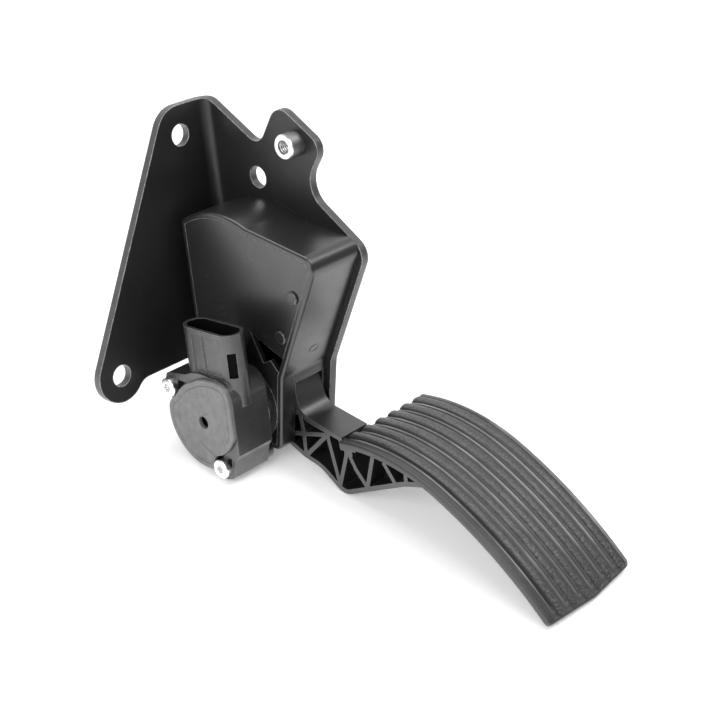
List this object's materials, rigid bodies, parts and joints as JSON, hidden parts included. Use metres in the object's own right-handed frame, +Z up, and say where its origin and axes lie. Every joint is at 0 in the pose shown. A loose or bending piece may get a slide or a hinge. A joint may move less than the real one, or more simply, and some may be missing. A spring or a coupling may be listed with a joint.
{
  "type": "accelerator pedal",
  "caption": "Drive-by-wire accelerator pedal: folded steel bracket, moulded housing with return springs, position sensor with socket, ribbed arm and grooved rubber treadle.",
  "frame": {"origin": "centre of the upper firewall hole, on the bracket face that meets the firewall", "axes": "+X along the pivot shaft from the sensor to the side flange, +Y from the treadle to the firewall, +Z up the firewall"},
  "size_m": [0.1263, 0.2156, 0.2138],
  "materials": {
    "bracket_paint": "satin black powder coat",
    "zinc_steel": "bright zinc",
    "housing_plastic": "fine-grained black moulding",
    "bush_plastic": "natural acetal",
    "sensor_plastic": "glass-filled black moulding",
    "cover_plastic": "flat grey-black moulding",
    "board_laminate": "green laminate",
    "pin_brass": "tinned brass",
    "seal_rubber": "soft black rubber",
    "spring_steel": "oiled spring steel",
    "arm_plastic": "satin black moulding",
    "tread_rubber": "stippled dark grey rubber"
  },
  "bodies": {
    "mount_assembly": {"mounting_bracket": "bracket_paint", "threaded_standoff": "zinc_steel", "housing_shell": "housing_plastic", "side_plate": "housing_plastic", "side_plate_rivets": "housing_plastic", "housing_screws": "zinc_steel", "bracket_bush": "bush_plastic", "side_plate_bush": "bush_plastic", "sensor_body": "sensor_plastic", "sensor_cover": "cover_plastic", "circuit_board": "board_laminate", "terminal_pins": "pin_brass", "screw_sleeves": "zinc_steel", "sensor_screws": "zinc_steel", "sensor_seal": "seal_rubber", "outer_return_spring": "spring_steel", "inner_return_spring": "spring_steel", "idle_stop_pad": "seal_rubber", "full_travel_stop_pad": "seal_rubber"},
    "pedal": {"pedal_arm": "arm_plastic", "treadle_pad": "tread_rubber", "pivot_shaft": "zinc_steel", "retaining_ring": "spring_steel", "thrust_washer": "bush_plastic", "sensor_rotor": "bush_plastic", "rotor_magnets": "spring_steel"}
  },
  "joints": [
    {"name": "pedal_pivot", "type": "hinge", "parent": "mount_assembly", "child": "pedal", "pos_m": [0, -0.042, -0.1255], "axis": [1, 0, 0], "range_deg": [0, 18], "stiffness_Nm_per_rad": 6, "springref_deg": -28.65, "deforming": ["outer_return_spring", "inner_return_spring"]}
  ]
}
